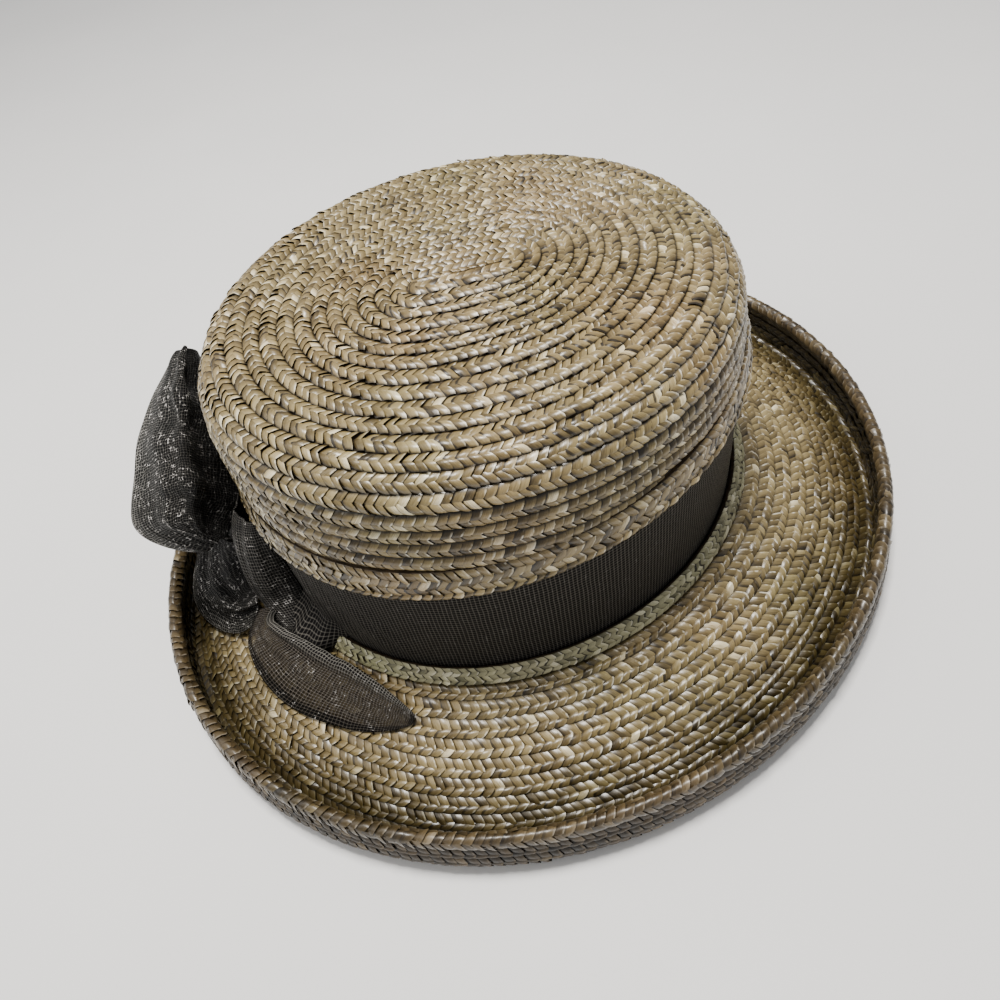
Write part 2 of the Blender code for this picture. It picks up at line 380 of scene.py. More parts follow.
class Profile:
    """The outer side of a turned wall, which gives a radius and a height for a way along it."""

    def __init__(self, points):
        points = np.array(points, dtype=float)
        ways = np.concatenate([[0], np.cumsum(np.hypot(*np.diff(points, axis=0).T))])
        self.end = ways[-1]
        self.way = np.linspace(0, self.end, PROFILE_SAMPLES)
        self.radius, self.height = (self.smooth(ways, points[:, column]) for column in (0, 1))
        run, rise = np.gradient(self.radius), np.gradient(self.height)
        self.out, self.up = -rise / np.hypot(run, rise), run / np.hypot(run, rise)

    def smooth(self, ways, values):
        blur = np.array([1, 3, 5, 3, 1]) / 13
        line = np.pad(np.interp(self.way, ways, values), 2, mode="reflect", reflect_type="odd")
        return np.convolve(line, blur, mode="valid")

    def at(self, way, lift):
        """Radius and height at a way along the wall, lift millimetres off it."""
        radius, height, out, up = (
            np.interp(way, self.way, values) for values in (self.radius, self.height, self.out, self.up)
        )
        return radius + lift * out, height + lift * up


turns = np.radians(np.arange(0, 91, 7.5))
shoulder = zip(FLAT_TOP + SHOULDER * np.sin(turns), TOP_HEIGHT - SHOULDER * (1 - np.cos(turns)))
crown_wall = Profile([
    (0, 131.2), (37.7, 131.0), *shoulder, (91.2, 100), (91.4, 85), (91.6, 55), (91.6, 27.7),
])
brim_wall = Profile([
    (89.7, 27.4), (96, 27), (106, 23.6), (120, 17.4), (134, 10.6), (143, 6), (147, 3.2), (149, 2),
    (151.4, 2), (153.2, 3), (154, 5.4), (153.7, 10), (152.7, 16), (151.6, 21.9),
])
print("way down the crown", round(crown_wall.end, 1), "and out over the brim", round(brim_wall.end, 1))

# %% [markdown]
# ## One stitch of plait
# In a flat plait each straw runs from the edge to the middle on top, dives under, and comes back on
# the other face. So one sees columns of slanted leaves that meet in a zigzag, and each leaf overlaps
# the next like a shingle. One leaf is a small grid; one stitch is a leaf for each column.

# %% Meshes as tables of places
def choose(thing):
    """Select one object alone, and make it the active one."""
    bpy.ops.object.select_all(action="DESELECT")
    thing.select_set(True)
    bpy.context.view_layer.objects.active = thing


def edit(thing, *steps):
    """Run steps in edit mode on one object, with all of it selected."""
    choose(thing)
    bpy.ops.object.mode_set(mode="EDIT")
    bpy.ops.mesh.select_all(action="SELECT")
    for step in steps:
        step()
    bpy.ops.object.mode_set(mode="OBJECT")


def places(thing):
    """All vertex positions of a mesh, one row each."""
    flat = np.empty(len(thing.data.vertices) * 3)
    thing.data.vertices.foreach_get("co", flat)
    return flat.reshape(-1, 3)


def put(thing, spots):
    """Move all vertices of a mesh."""
    thing.data.vertices.foreach_set("co", np.asarray(spots, dtype=float).ravel())
    thing.data.update()


def carry(thing, **marks):
    """Give a mesh numbers at its vertices, which its finish reads by name."""
    for name, values in marks.items():
        mark = thing.data.attributes.new(name, "FLOAT", "POINT")
        mark.data.foreach_set("value", values.astype(np.float32))


# %% Leaf and stitch
LEAF_ACROSS, LEAF_ALONG = 3, 4
LEAF_POINTS = (LEAF_ACROSS + 1) * (LEAF_ALONG + 1)
LEAF_TAPER = 0.28             # of its width, at both ends
LEAF_BULGE = 0.32             # mm, in the middle of its width
LEAF_PROUD = 0.26             # mm, at the edge that lies over the next leaf


def leaf(start, end, lean, rises, width):
    """One leaf of straw in a strip of unit width: x along the strip in mm, y across it from 0 to 1.

    It runs across the strip from start to end and leans along it by lean millimetres. rises are
    lifts along the leaf from its start to its end, in millimetres."""
    bpy.ops.object.select_all(action="DESELECT")
    bpy.ops.mesh.primitive_grid_add(x_subdivisions=LEAF_ACROSS, y_subdivisions=LEAF_ALONG, size=2)
    thing = bpy.context.object
    spots = places(thing)
    across, along = spots[:, 0], (spots[:, 1] + 1) / 2
    taper = 1 - LEAF_TAPER * np.abs(along * 2 - 1) ** 3
    x = lean * (along - 0.5) + across * width / 2 * taper
    y = start + (end - start) * along
    z = np.interp(along, np.linspace(0, 1, len(rises)), rises)
    z = z + LEAF_BULGE * (1 - across ** 2) + LEAF_PROUD * across
    put(thing, np.stack([x, y, z], axis=-1))
    return thing


def stitch(name, columns):
    """A leaf for each column, joined."""
    leaves = [leaf(*column) for column in columns]
    choose(leaves[0])
    for thing in leaves:
        thing.select_set(True)
    bpy.ops.object.join()
    leaves[0].name = leaves[0].data.name = name
    return leaves[0]


def repeat(thing, count, pitch):
    """Repeat a stitch along X into a straight plait."""
    row = thing.modifiers.new("row", "ARRAY")
    row.count = count
    row.use_relative_offset = False
    row.use_constant_offset = True
    row.constant_offset_displace = (pitch, 0, 0)
    choose(thing)
    bpy.ops.object.modifier_apply(modifier=row.name)


# %% [markdown]
# ## Sewing a row
# The stitch is repeated with an Array modifier into one straight plait as long as the hat needs, and
# the plait is then laid along the spiral that the sewer followed. Each leaf also gets its own small
# shift, tilt and tone, because no two straws lie alike.

# %% The sewer's spiral
SPIRAL_SAMPLES = 6000
CORE_FOLLOWS = 2.2            # over 1, the rows run straight along the core before they turn at its ends


def edges_of_row(turn, rows, width):
    """Where the inner and the outer edge of the row lie on the wall after so many turns."""
    inner = np.interp(turn, np.arange(len(rows)), rows)
    if width:
        return inner, inner + width
    return inner, np.interp(turn + 1, np.arange(len(rows)), rows)


def lay(wall, way, angle, lift, core):
    """Places on a wall. Inside the crown's flat top, the rows close round a straight core."""
    radius, height = wall.at(way, lift)
    spots = on_oval(radius, angle, height)
    if core is not None:
        half, aim, side, back = core
        fade = np.clip(1 - radius / FLAT_TOP, 0, 1)
        pull = half * np.sin(np.clip(CORE_FOLLOWS * np.cos(angle - aim), -1, 1) * math.pi / 2)
        spots[:, 0] += fade * (pull * math.cos(aim) + side)
        spots[:, 1] += fade * (pull * math.sin(aim) + back)
    return spots


def spiral(wall, rows, width, turns, start_angle, core):
    """Tables of turn and length for a spiral whose rows meet the start angle at the given ways."""
    turn = np.linspace(0, turns, SPIRAL_SAMPLES)
    middle = np.maximum(sum(edges_of_row(turn, rows, width)) / 2, 0.0)
    spots = lay(wall, middle, start_angle + turn * 2 * math.pi, np.zeros_like(turn), core)
    steps = np.linalg.norm(np.diff(spots, axis=0), axis=1)
    return turn, np.concatenate([[0], np.cumsum(steps)])


def outward_share(thing, facing):
    """The part of a mesh's faces that point away from the inside of the straw wall."""
    mesh = thing.data
    normals = np.empty(len(mesh.polygons) * 3)
    centres = np.empty(len(mesh.polygons) * 3)
    mesh.polygons.foreach_get("normal", normals)
    mesh.polygons.foreach_get("center", centres)
    normals, centres = normals.reshape(-1, 3), centres.reshape(-1, 3)
    outward = np.stack([centres[:, 0], centres[:, 1], np.full(len(centres), 0.06)], axis=-1)
    return float(((normals * outward).sum(axis=1) * facing > 0).mean())


# %% Lay a plait on the hat
MIDDLE_TONE = 0.42
PALE_STEP = 0.4               # how much paler the odd pale straw is
COMMON_STRAWS = 0.94          # the share that isn't such a straw
SHIFT_ALONG = 0.16            # mm
SHIFT_ACROSS = 0.012          # of the row's width
SHIFT_OUT = 0.06              # mm
TILT_OUTSIDE, TILT_INSIDE = 0.15, 0.06      # mm up for each mm off the leaf's middle
OUTER_SEAM, OUTER_DEEPENS = 0.90, 0.13      # of the row's width: where its outer seam's shade begins
INNER_SEAM = 0.07                           # and where its inner seam's shade begins to fade
LOWEST = -0.3                 # mm: the plait is pressed flat where the hat stands


def sew(name, wall, rows, columns, pitch, finish, facing=1, start_angle=0.0, core=None, rise=1.0,
        tilt=0.0, width=None, turns=None, seam_shade=1.0, pressed=None, spread=0.13):
    """A plait of stitches laid in a spiral over a wall, on its outer side (1) or its inner side (-1).

    rows are the ways down the wall at which each row begins at the start angle. A width lays one row
    of that width instead, for a plait that runs round and doesn't wind. rise is how thick the plait
    lies, for all rows or for each: under 1 it is flattened, over 1 swollen. tilt lifts it towards the
    back. seam_shade is how dark the painted shade along the seams is. pressed tells for ways and angles
    how flat the plait lies, where something is sewn over it. spread is how much the leaves differ in tone."""
    turns = turns or len(rows) - 2.0
    turn, length = spiral(wall, rows, width, turns, start_angle, core)
    count = int(length[-1] / pitch)
    plait = stitch(name, columns)
    repeat(plait, count, pitch)

    # Each leaf's own tone, shift and tilt.
    spots = places(plait)
    across = spots[:, 1]
    which = np.arange(len(spots)) // LEAF_POINTS
    leaves = which[-1] + 1
    tone = spread * chance.normal(0, 1, leaves) + PALE_STEP * (chance.random(leaves) > COMMON_STRAWS)
    x = spots[:, 0] + chance.normal(0, SHIFT_ALONG, leaves)[which]
    y = across + chance.normal(0, SHIFT_ACROSS, leaves)[which]
    centre = np.bincount(which, weights=x) / LEAF_POINTS
    tip = chance.normal(0, TILT_OUTSIDE if facing > 0 else TILT_INSIDE, leaves)[which] * (x - centre[which])

    # How thick the plait lies. A swollen row is round, like rope, and gets deeper painted shade at its
    # seams.
    at = np.interp(x, length, turn)
    swell = np.interp(at, np.arange(len(rows)), np.broadcast_to(rise, len(rows)))
    rope = np.maximum(swell - 1, 0)
    off_middle = np.abs(2 * across - 1)
    tone = np.clip(MIDDLE_TONE + tone * np.maximum(swell[::LEAF_POINTS], 1), 0, 1)
    z = spots[:, 2] * np.minimum(swell, 1) + tip / np.maximum(swell, 1) ** 2
    z = z + chance.normal(0, SHIFT_OUT, leaves)[which]
    z += rope * (1.3 - 2.4 * off_middle ** 2.5)
    # Painted shade along the row's outer and inner seams, deeper between swollen rows.
    under = np.clip((across - OUTER_SEAM) / OUTER_DEEPENS, 0, 1)
    if not width:
        under += np.clip(1 - (across - INNER_SEAM) / INNER_SEAM, 0, 1) + rope * (1.2 * off_middle ** 3)

    # On to the wall.
    angle = start_angle + at * 2 * math.pi
    inner, outer = edges_of_row(at, rows, width)
    way = inner + (outer - inner) * (y if facing > 0 else 1 - y)
    if pressed:
        z = z * (1 - pressed(way, angle))
    spots = lay(wall, np.maximum(way, 0.0), angle, z if facing > 0 else -STRAW - z, core)
    spots[:, 2] += tilt * spots[:, 1]
    spots[:, 2] = np.maximum(spots[:, 2], LOWEST)
    put(plait, spots * MM)
    carry(plait, tone=tone[which], way=way / 10, under=under * seam_shade)
    plait.data.materials.append(finish)
    if outward_share(plait, facing) < 0.5:
        edit(plait, bpy.ops.mesh.flip_normals)
    bpy.ops.object.shade_smooth()
    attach(plait, "root")
    metres = round(length[-1] * MM, 2)
    print(name, "metres of plait", metres, "stitches", count, "faces", len(plait.data.polygons))


# %% [markdown]
# ## Crown
# The plait starts as a straight fold in the middle of the top and widens turn by turn. Each row is
# sewn under the edge of the row inside it, so every row's outer edge stands proud and throws a dark
# line, which painted shade along the seams deepens. The row widths are uneven, as they are by hand.

# %% Crown rows
CORE = (14.0, math.radians(62), 1.0, 0.5)      # half length of the straight start, its direction, its shift
TOP_ROWS = (
    -6.8, 0, 6.8, 13.7, 19.6, 26.4, 32.4, 38.5, 44.9, 52, 58.9, 66.3,
    72.7, 79.4, 84.6, 90, 96.4, 102.8, 108.2, 114.6, 121, 127, 133,
)
NEAR = math.radians(148)                        # the side on which these widths were read
PITCH = 3.0
# columns: start across the row, end across it, slant in mm, lifts along the leaf in mm, width in mm
CROWN_STITCH = (
    (-0.16, 0.62, -3.1, (-0.60, 0.15, 0.70, 0.95, 0.55), 3.9),
    (1.03, 0.42, -2.8, (0.55, 1.15, 1.35, 1.15, 0.55), 3.9),
)
CROWN_RISE = (1.0,) * 15 + (1.2, 1.5, 1.6, 1.6, 1.6, 1.4, 1.1, 0.7)


def under_band(way, angle):
    """How flat the rows lie under the band, which begins lower at the back."""
    return 0.85 * share(way - 5.5 * np.sin(angle), 122.0, 124.5)


sew("crown_rows", crown_wall, TOP_ROWS, CROWN_STITCH, PITCH, plait_straw,
    start_angle=NEAR, core=CORE, rise=CROWN_RISE, pressed=under_band)

# %% [markdown]
# The spiral can't begin at a point, because a plait has a width. So its first stitches lie straight
# on the core, and the first turn of the spiral hides their ends.

# %% The plait's start
START_STITCHES = 11
START_WIDTH = 6.6
START_FLATTENED = 0.8
START_LIFT = 0.25
start = stitch("crown_start", CROWN_STITCH)
repeat(start, START_STITCHES, PITCH)
_, aim, side, back = CORE
along, across, lift = (places(start) * (1, START_WIDTH, START_FLATTENED)).T
along, across = along - START_STITCHES // 2 * PITCH, across - START_WIDTH / 2
centre = on_oval(0.0, 0.0, crown_wall.height[0]) + (side, back, START_LIFT)
x = along * math.cos(aim) - across * math.sin(aim)
y = along * math.sin(aim) + across * math.cos(aim)
put(start, (centre + np.stack([x, y, lift], axis=-1)) * MM)
start_tones = MIDDLE_TONE + 0.2 * chance.normal(0, 1, len(CROWN_STITCH) * START_STITCHES)
carry(start, tone=np.repeat(start_tones, LEAF_POINTS))
start.data.materials.append(plait_straw)
bpy.ops.object.shade_smooth()
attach(start, "root")
print("straight start", [round(float(value), 1) for value in centre])

# %% [markdown]
# The same rows show inside the crown, where the sweat band of a finer hat would cover them. There it
# is the inner edge of each row that lies uppermost, and the rows go all the way down to the head's
# opening.

# %% Crown's inside
INNER_ROWS = TOP_ROWS[:-2] + tuple(np.arange(127, crown_wall.end + 7, 6.6))
sew("crown_inside_rows", crown_wall, INNER_ROWS, CROWN_STITCH, 3.6, plait_straw, facing=-1,
    start_angle=NEAR, core=CORE, rise=0.6, turns=len(INNER_ROWS) - 2.2)

# %% [markdown]
# ## Brim
# The brim goes on from the headline, row after row, down to the trough and up again to the rim. The
# plait was turned over here, so its zigzag points the other way. Where the rim is turned up, the rows
# are pressed flatter on the outside and stand out rounder underneath.

# %% Brim rows
BRIM_START = math.radians(139)
BRIM_ROWS = (4.6, 8.0, 14, 21, 28, 35, 42, 48.5, 54.5, 60.5, 67, 73.0, 79.0, 85.2, 90)
BRIM_STITCH = (
    (-0.16, 0.68, 3.5, (-0.60, 0.15, 0.65, 0.90, 0.50), 4.5),
    (1.03, 0.50, 2.8, (0.50, 1.10, 1.25, 1.05, 0.50), 4.5),
)
BRIM_RISE = (1.0,) * 12 + (0.8, 0.5, 0.5)
UNDER_RISE = (0.5,) * 10 + (0.9, 1.2, 1.3, 1.2, 0.6, 0.5)
print("brim rows end at", BRIM_ROWS[-2], "of", round(brim_wall.end, 1))
sew("brim_rows", brim_wall, BRIM_ROWS, BRIM_STITCH, 3.5, brim_straw,
    start_angle=BRIM_START, rise=BRIM_RISE, turns=13.0, seam_shade=0.75)
sew("brim_under_rows", brim_wall, (-2.5,) + BRIM_ROWS, BRIM_STITCH, 3.9, under_straw, facing=-1,
    start_angle=BRIM_START, rise=UNDER_RISE, turns=14.0)

# %% [markdown]
# One more plait is folded over the rim, so that no cut edge shows. It is sewn like a row, on a small
# wall of its own that goes up one side of the rim and down the other.

# %% Rim
rim_wall = Profile([
    (150.6, 19.4), (150.6, 21.6), (151.4, 23.1), (152.7, 23.6), (154.0, 23.1), (154.9, 21.6), (155.3, 19.4),
])
RIM_STITCH = (
    (-0.04, 0.42, 3.2, (-0.20, 0.40, 0.55, 0.50, 0.20), 4.1),
    (0.76, 0.32, 3.0, (0.15, 0.45, 0.60, 0.55, 0.30), 4.1),
    (0.66, 1.03, 3.0, (0.20, 0.45, 0.55, 0.40, -0.20), 4.1),
)
sew("rim_plait", rim_wall, (0, 0, 0), RIM_STITCH, 3.3, rim_straw,
    start_angle=math.radians(20), rise=0.7, width=rim_wall.end, turns=1.01)

# %% [markdown]
# ## The applied braids
# Two plaits are sewn on flat, each once round: a broad one over the band's top edge, which sits a
# little lower at the back, and a narrow greenish one, two plaits side by side, over the headline.

# %% Braids round the crown and the headline
braid_wall = Profile([(93.4, 98.5), (94.2, 92.7), (95.1, 87.0)])
BRAID_STITCH = (
    (-0.08, 0.36, 3.2, (-1.40, 0.10, 0.45, 0.45, 0.20), 4.1),
    (0.66, 0.26, 3.2, (0.15, 0.45, 0.60, 0.50, 0.20), 4.1),
    (0.56, 0.88, 2.6, (0.15, 0.45, 0.55, 0.50, 0.15), 4.1),
    (1.03, 0.80, 2.2, (0.10, 0.80, 1.00, 0.80, 0.30), 3.6),
)
CLOTH_TILT = -0.06            # rise of the braid and the band's top edge for each millimetre to the back
sew("crown_edge_plait", braid_wall, (0, 0, 0), BRAID_STITCH, 3.2, plait_straw,
    start_angle=math.radians(97), rise=0.9, tilt=CLOTH_TILT, width=braid_wall.end, turns=1.012, spread=0.2)

headline_wall = Profile([(94.6, 33.6), (96.9, 31.2), (98.7, 28.2)])
HEADLINE_STITCH = (
    (-0.06, 0.60, 2.2, (0.05, 0.35, 0.50, 0.45, 0.25), 3.9),
    (1.04, 0.46, 2.2, (0.00, 0.55, 0.60, 0.50, 0.25), 3.9),
)
HEADLINE_WIDTH = 3.7
for number, way in enumerate((-0.3, 3.2)):
    sew(f"headline_plait_{number + 1}", headline_wall, (way, way, way), HEADLINE_STITCH, 3.1, headline_straw,
        start_angle=math.radians(100), rise=0.8, width=HEADLINE_WIDTH, turns=1.01, spread=0.22)

# %% [markdown]
# ## Black cloth
# The cloth is sinamay: stiff threads woven so openly that one sees through it, with a mesh of about
# a millimetre. The weave follows the cloth's own UV map, measured in millimetres. Along a hem the
# cloth is doubled, so it is denser there; the attribute called edge says how far off the hem is.
# roll marks the rolled hem, whose threads get a painted highlight, and deep marks the painted shade inside a
# fold.

# %% Cloth finish
CLOTH_RELIEF = 0.00018        # metres


def weave(cloth, per_mm, waver, tangle):
    """Two sets of threads, each from 0 between the threads to 1 on top of one."""
    along, across, _ = cloth.split(cloth.flat())
    drawn = cloth.noise(cloth.vector(along * 0.09, across * 0.09, 0.0), 1.0, 1.0)
    tangled = cloth.noise(cloth.vector(along * 0.4, across * 0.4, 2.0), 1.0, 2.0) * tangle
    warp = along * per_mm + drawn * (2.4 * waver) + tangled
    weft = across * per_mm + drawn * (1.7 * waver) - tangled
    ridges = (1.0 - (way.fraction() - 0.5).size() * 2.0 for way in (warp, weft))
    return [(ridge * 4.6 - 3.0).kept() for ridge in ridges]


def cloth_finish(name, open_share, glint, thread, tangle=0.0, per_mm=0.8, waver=1.0):
    """Black cloth of so many threads per millimetre, whose gaps are see-through by a share.

    glint is how bright its painted glints are, thread the colour of its threads, tangle how far they are out
    of place from thread to thread, and waver how far whole stretches of them are drawn."""
    cloth = Finish(name, 0.42, CLOTH_RELIEF)
    warp, weft = weave(cloth, per_mm, waver, tangle)
    mesh = warp.greater(weft)
    knots = warp * weft
    spark = cloth.noise(cloth.here(), 520.0, 2.0, 0.7)
    creased = cloth.noise(cloth.here(), 150.0, 2.0, 0.6)
    hem = 1.0 - (cloth.mark("edge") * 1.2 - 3.6).kept()
    rolled = cloth.mark("roll")

    # Painted highlight on the threads of the rolled hem.
    colour = cloth.mix(mesh, tint(3, 3, 3), cloth.mix(rolled * 0.6, thread, tint(150, 148, 142)))
    # Painted highlight where the threads cross.
    colour = cloth.mix(knots * 0.5, colour, tint(132, 128, 118))
    if tangle:
        # Painted shade in the creases of the crumpled cloth.
        colour = cloth.mix((2.1 - creased * 4.2).kept() * 0.6, colour, tint(16, 16, 17))
    colour = cloth.mix(hem * (1.0 - rolled) * 0.55, colour, tint(9, 9, 9))
    # Painted glints on the threads, in patches.
    lit = (spark * 7.0 - 4.0).kept() * (mesh * 0.9 + knots * 0.3)
    lit = lit * (creased * 5.0 - 1.9).kept() * glint * 1.6
    colour = cloth.mix(lit.kept(), colour, tint(212, 208, 204))
    # Painted shade deep inside a fold.
    colour = cloth.mix(cloth.mark("deep"), colour, tint(6, 6, 6))
    solid = mesh.greater(hem * 0.8).greater(1.0 - open_share)
    cloth.shader.inputs["Specular IOR Level"].default_value = 0.15
    return cloth.done(relief=mesh + knots * 0.5, Base_Color=colour, Roughness=0.7 - mesh * 0.3, Alpha=solid)


band_cloth = cloth_finish("band_sinamay", 0.0, 0.1, tint(76, 73, 69), per_mm=0.7, waver=0.2)
bow_cloth = cloth_finish("bow_sinamay", 0.05, 2.0, tint(62, 61, 59), tangle=1.6, per_mm=0.9)
knot_cloth = cloth_finish("knot_sinamay", 0.05, 0.9, tint(76, 74, 71), tangle=0.5, waver=0.5)
tail_cloth = cloth_finish("tail_sinamay", 0.66, 0.5, tint(78, 72, 66))
print("cloth finishes", band_cloth.name, bow_cloth.name, knot_cloth.name, tail_cloth.name)

# %% [markdown]
# ## Sheets of cloth
# Every piece of cloth starts as a flat grid that is bent into place, and gets its thickness last. Its
# UV map is stretched to the size of the flat cloth, so the weave has the same mesh everywhere.

# %% Cloth helpers
def grid(name, across, along):
    """A flat grid of faces, whose vertices and UV map then tell ways across and along the cloth."""
    bpy.ops.object.select_all(action="DESELECT")
    bpy.ops.mesh.primitive_grid_add(x_subdivisions=across, y_subdivisions=along, size=2)
    thing = bpy.context.object
    thing.name = thing.data.name = name
    return thing


def cloth_map(thing, scale):
    """Turn a UV map that runs from 0 to 1 into millimetres of cloth."""
    layer = thing.data.uv_layers[0]
    layer.name = "UVMap"
    flat = np.empty(len(layer.data) * 2)
    layer.data.foreach_get("uv", flat)
    layer.data.foreach_set("uv", (flat.reshape(-1, 2) * np.array(scale)).ravel())


def finish_cloth(thing, thickness, finish):
    """Give a sheet its thickness and its cloth, and let it ride on the hat."""
    thing.data.materials.append(finish)
    choose(thing)
    bpy.ops.object.shade_smooth()
    wall = thing.modifiers.new("thickness", "SOLIDIFY")
    wall.thickness = thickness * MM
    wall.offset = 0.0
    bpy.ops.object.modifier_apply(modifier=wall.name)
    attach(thing, "root")
    print(thing.name, "faces", len(thing.data.polygons))


# %% [markdown]
# ## Band
# The band is one strip pulled tight round the crown and tucked under both braids. It starts as a
# grid, wraps round the oval, and is creased where the bow draws it together. Right below the knot it
# isn't tucked in: there its foot spreads over the headline.

# %% Band
BAND = ((92.7, 88.2), (92.9, 77), (93, 64), (93.1, 52), (93, 40), (92.9, 29))      # radius and height
BAND_RADII, BAND_HEIGHTS = np.array(BAND)[::-1].T
BAND_SIZE = (590, 59)                          # mm of cloth
# columns: angle at the top edge, angle at the foot, half width in degrees, height in mm
GATHERS = (
    (60.0, 54.0, 4.5, 1.4),
    (67.0, 64.0, 4.0, 1.8),
    (94.0, 98.0, 4.0, 1.8),
    (99.0, 107.0, 4.5, 1.6),
    (105.0, 117.0, 5.0, 1.2),
    (90.5, 91.5, 1.6, 0.9),
    (96.8, 102.0, 1.5, 0.8),
    (102.0, 112.5, 1.8, 0.7),
    (108.5, 124.0, 2.6, 0.6),
    (63.5, 59.0, 1.6, 0.8),
)
SKIRT_OPENS, SKIRT_CLOSES = (74, 80), (95, 103)      # degrees
SKIRT_REACH, SKIRT_HEIGHT = 19, 13                   # mm out at the foot, and up from it
SKIRT_WAVES = 60                                     # along its foot, counted for a whole round


def band_shape(round_way, down):
    """The band's surface. round_way goes once round from the wearer's left, down from top to foot."""
    angle = round_way * 2 * math.pi
    degrees = np.degrees(angle)
    up = 1 - down
    height = BAND_HEIGHTS[-1] + (BAND_HEIGHTS[0] - BAND_HEIGHTS[-1]) * down
    rise = np.zeros_like(angle)
    for top, foot, half, crease in GATHERS:
        away = np.abs(degrees - (foot + (top - foot) * up)) / half
        fold = crease * np.sin(math.pi * up) * np.cos(np.minimum(away, 1) * math.pi / 2) ** 2
        rise = np.maximum(rise, np.where(away < 1, fold, 0))
    skirt = share(degrees, *SKIRT_OPENS) * (1 - share(degrees, *SKIRT_CLOSES))
    low = np.clip(1 - (height - BAND_HEIGHTS[0]) / SKIRT_HEIGHT, 0, 1) ** 1.3
    rise += SKIRT_REACH * skirt * low * (1 + 0.10 * np.sin(np.radians(degrees * SKIRT_WAVES)))
    spots = on_oval(np.interp(height, BAND_HEIGHTS, BAND_RADII) - 0.35 + rise, angle, height)
    spots[:, 2] += CLOTH_TILT * up * spots[:, 1]
    return spots


def close_round():
    """Join the strip's two ends."""
    bpy.ops.mesh.remove_doubles(threshold=0.00001)
    bpy.ops.mesh.normals_make_consistent(inside=False)


band = grid("band", 540, 30)
round_way, down, _ = ((places(band) + 1) / 2).T
put(band, band_shape(round_way, down) * MM)
cloth_map(band, BAND_SIZE)
carry(band, edge=np.minimum(down, 1 - down) * BAND_SIZE[1])
finish_cloth(band, 0.7, band_cloth)
edit(band, close_round)
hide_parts("hat_band")

# %% [markdown]
# ## Bow
# The bow is folded from the same cloth: an upright roll for the knot, two loops to one side of it and
# a pointed tail to the other. Each is a coarse sheet of cloth, a few rows of five points, that
# Subdivision Surface turns into soft folds, and fine pulls are then worked into it. The two loops
# follow the photograph a little more closely than their plain solids do.

# %% Where the bow's pieces lie, in millimetres
# columns: height, angle on the loops' side, angle on the tail's side, how far it stands off the band
KNOT = (
    (79, 71, 83, 6),
    (74, 71, 84, 9.5),
    (64, 71.5, 84.5, 13),
    (52, 72, 84.5, 15.5),
    (42, 73, 85, 16.5),
    (36, 74, 86, 16),
)
KNOT_FOOT = ((32.5, 79, 90, 15), (29.5, 86, 93.5, 12.5))      # the roll narrows into the tail's rolled hem
# columns: way across the knot, share of its stand-off
KNOT_SECTION = ((0, 0), (0.1, 0.72), (0.5, 1.25), (0.9, 0.72), (1, 0))
# columns of the tail and the lower loop: x, y and height over the brim of an edge, the ridge, the other edge
TAIL = (
    (9, 116.5, 12.5, 14, 119, 13, 19, 122, 11.5),
    (10, 121.5, 12, 13, 127, 11, 19, 132, 7),
    (1, 118.5, 10, 5, 127, 9.5, 12.5, 135.5, 5),
    (-9.5, 114.5, 8, -8.5, 125, 8.5, -1.5, 137.5, 4),
    (-20.5, 111, 7, -22, 122.5, 7.5, -20, 134.5, 3),
    (-30, 107, 6, -33.5, 116.5, 7, -34.5, 127, 3),
    (-41, 104.5, 5, -44.5, 112, 5.5, -47, 119.5, 2.5),
    (-51, 102.5, 4, -53, 106.5, 4, -55, 110.5, 2.5),
    (-57.5, 101.5, 3, -58.5, 103, 3.5, -59, 104.5, 3),
)
LOWER_LOOP = (
    (19, 126, 6, 21.5, 120.5, 12, 24, 114.5, 13.5),
    (25, 135, 4.5, 25, 128, 13.5, 27, 119, 14.5),
    (38.5, 140.5, 4, 33, 130.5, 16, 32, 117, 15.5),
    (53.5, 143, 5.5, 42, 132, 18.5, 38.5, 114.5, 17),
    (63, 141.3, 9.5, 54.5, 131, 19.5, 47, 112, 17),
    (73, 134.8, 11.5, 66, 126, 18.5, 58, 110, 16),
    (82.5, 127, 12, 76.5, 120.5, 16, 69, 108, 13),
)
# columns: x, y, z of the outer edge; x, y, z of the ridge; x, y, z of the edge by the crown
UPPER_LOOP = (
    (33.5, 125.5, 58.5, 28, 117.5, 67, 28, 112, 59),
    (49, 141, 67, 31, 126, 78, 25, 119.5, 68),
    (58.5, 139, 72.5, 32, 120.5, 88, 36, 105, 66),
    (61, 133, 78, 37, 114.5, 96, 43, 99, 70),
    (71.5, 124.5, 85, 44, 109, 102, 52.5, 93.5, 77),
    (79.5, 113.5, 92, 53, 101.5, 107, 61.5, 87.5, 84.5),
    (82.5, 101.5, 100, 62, 94, 112.5, 70, 82, 94),
    (81.5, 91, 107, 71, 87, 114.5, 74.5, 82.5, 102),
)

# %% Sections of the bow
TROUGH = 300                  # samples of the brim's profile from the headline to the trough
OVAL_ROUNDS = 12
CREST = 0.25                  # how much higher a ridge is made, because subdivision flattens it


def brim_height(x, y):
    """Height of the brim's upper side at a place in plan.

    The oval's stretch depends on the radius that is looked for, so it is found in a few rounds."""
    radius = math.hypot(x, y)
    for _ in range(OVAL_ROUNDS):
        out = share(radius, HEAD_RADIUS, RIM_RADIUS)
        stretch = stretch_at(radius, 0.0, out)
        back = FOOT_BACK * (1 - out)
        radius = math.hypot(x * radius / (radius - stretch), (y - back) * radius / (radius + stretch))
    return float(np.interp(radius, brim_wall.radius[:TROUGH], brim_wall.height[:TROUGH]))


def over_brim(x, y, lift):
    return (x, y, brim_height(x, y) + lift)


